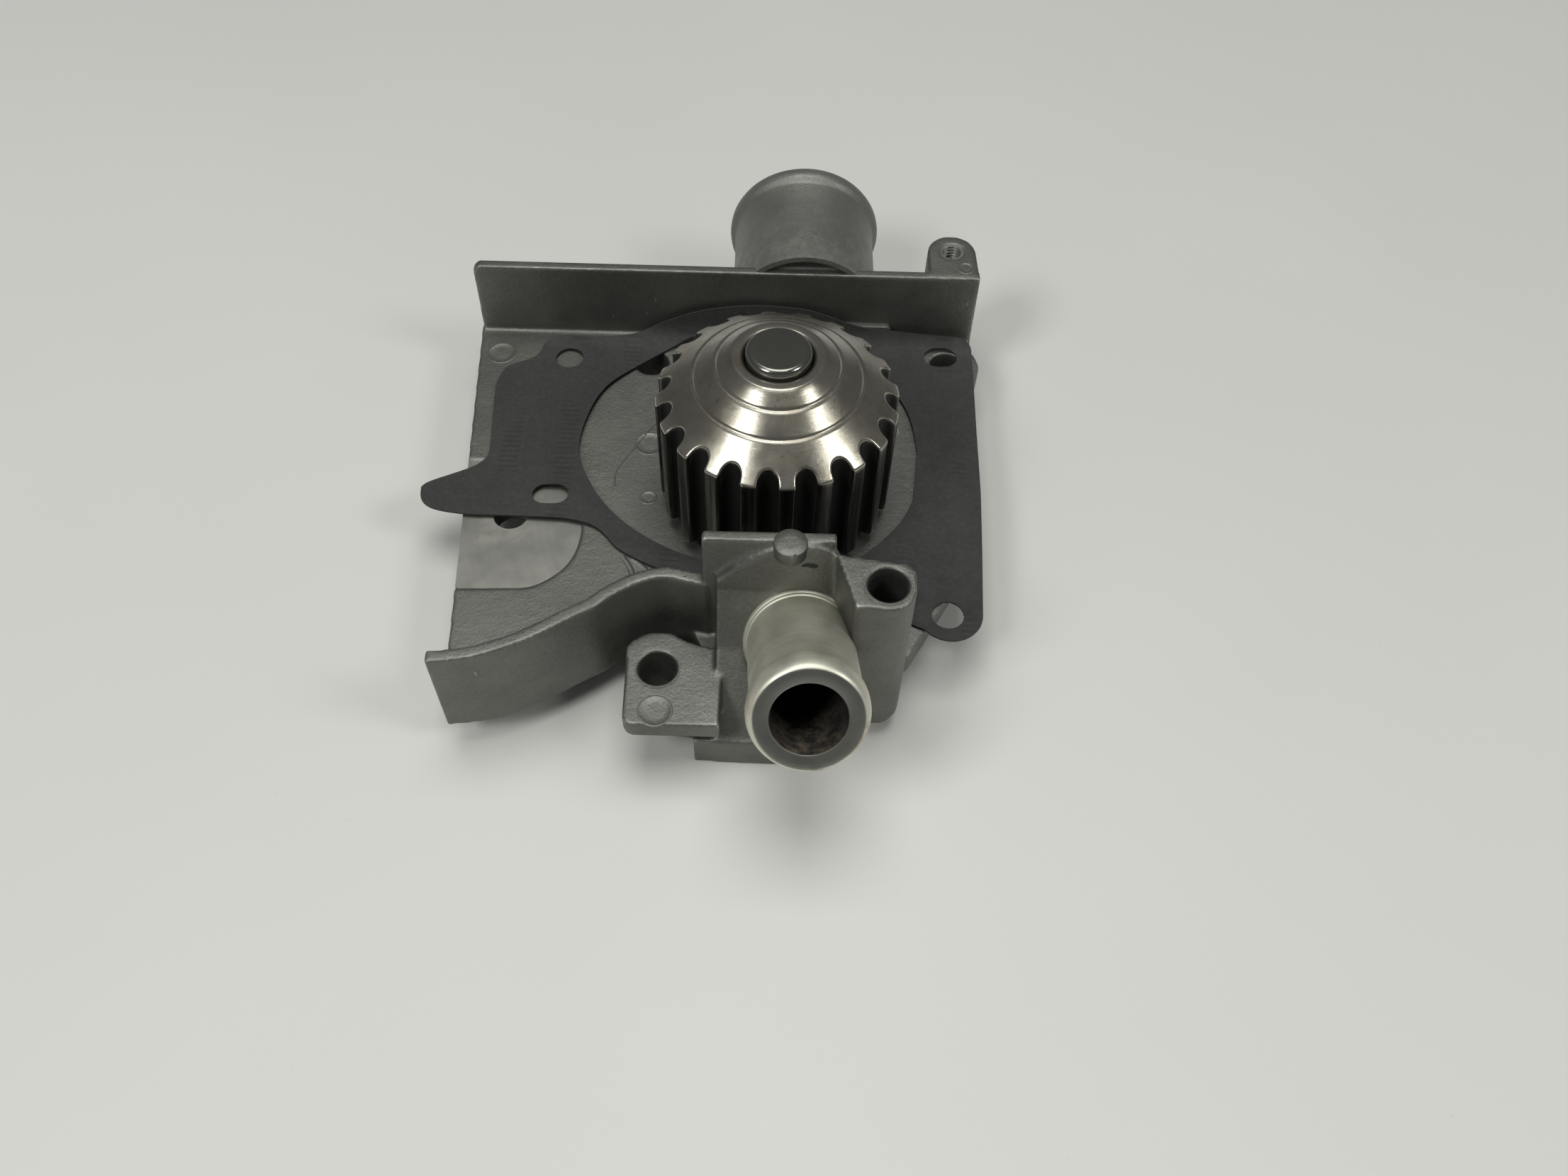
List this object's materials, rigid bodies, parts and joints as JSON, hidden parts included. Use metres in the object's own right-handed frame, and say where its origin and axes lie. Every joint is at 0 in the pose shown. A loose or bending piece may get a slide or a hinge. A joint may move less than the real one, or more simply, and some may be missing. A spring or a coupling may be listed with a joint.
{
  "type": "automotive water pump",
  "caption": "Timing-belt-driven coolant pump: cast housing with two hose necks, toothed cone-faced sprocket on an integral shaft bearing, impeller, face seal and a loose paper gasket.",
  "frame": {"origin": "centre of the bounding box's base, on the plane of the housing's mating face", "axes": "+Z along the shaft towards the sprocket's nose, +Y towards the large hose neck, +X to the right when looking along +Y"},
  "size_m": [0.1508, 0.191, 0.068],
  "materials": {
    "cast_aluminium": "as cast, fine matte grain",
    "sintered_steel": "turned cone, dark stained grooves",
    "ground_steel": "ground",
    "stamped_steel": "rolled sheet",
    "bearing_steel": "polished",
    "cage_polymer": "moulded",
    "nitrile_rubber": "moulded",
    "stainless_sheet": "drawn sheet",
    "spring_steel": "drawn wire",
    "carbon": "lapped carbon",
    "ceramic": "lapped",
    "gasket_paper": "matte coated paper"
  },
  "bodies": {
    "housing_assembly": {"pump_housing": "cast_aluminium", "bearing_outer_ring": "bearing_steel", "bearing_seal_front": "nitrile_rubber", "bearing_seal_rear": "nitrile_rubber", "seal_case": "stainless_sheet", "seal_bellows": "nitrile_rubber", "seal_spring": "spring_steel", "gasket": "gasket_paper"},
    "rotor": {"timing_belt_sprocket": "sintered_steel", "pump_shaft": "ground_steel", "impeller": "stamped_steel", "water_slinger": "nitrile_rubber", "seal_mating_ring": "ceramic", "mating_ring_cup": "nitrile_rubber"},
    "ball_set": {"ball_cage": "cage_polymer", "bearing_ball_1": "bearing_steel", "bearing_ball_2": "bearing_steel", "bearing_ball_3": "bearing_steel", "bearing_ball_4": "bearing_steel", "bearing_ball_5": "bearing_steel", "bearing_ball_6": "bearing_steel", "bearing_ball_7": "bearing_steel", "bearing_ball_8": "bearing_steel"},
    "roller_set": {"roller_cage": "cage_polymer", "bearing_roller_1": "bearing_steel", "bearing_roller_2": "bearing_steel", "bearing_roller_3": "bearing_steel", "bearing_roller_4": "bearing_steel", "bearing_roller_5": "bearing_steel", "bearing_roller_6": "bearing_steel", "bearing_roller_7": "bearing_steel", "bearing_roller_8": "bearing_steel", "bearing_roller_9": "bearing_steel"},
    "seal_head": {"seal_face_ring": "carbon", "seal_retainer": "stainless_sheet"}
  },
  "joints": [
    {"name": "shaft_spin", "type": "hinge", "parent": "housing_assembly", "child": "rotor", "pos_m": [0.0172, -0.0026, 0.0526], "axis": [0, 0, 1], "continuous": true},
    {"name": "ball_cage_spin", "type": "hinge", "parent": "housing_assembly", "child": "ball_set", "pos_m": [0.0172, -0.0026, 0.0411], "axis": [0, 0, 1], "continuous": true},
    {"name": "roller_cage_spin", "type": "hinge", "parent": "housing_assembly", "child": "roller_set", "pos_m": [0.0172, -0.0026, 0.0276], "axis": [0, 0, 1], "continuous": true},
    {"name": "seal_face_slide", "type": "slide", "parent": "housing_assembly", "child": "seal_head", "axis": [0, 0, 1], "range_m": [0, 0.001], "stiffness_N_per_m": 5000, "springref_m": -0.004, "deforming": ["seal_spring", "seal_bellows"]}
  ],
  "couplings": [
    {"joint": "ball_cage_spin", "follows": "shaft_spin", "ratio": 0.3759},
    {"joint": "roller_cage_spin", "follows": "shaft_spin", "ratio": 0.4026}
  ]
}
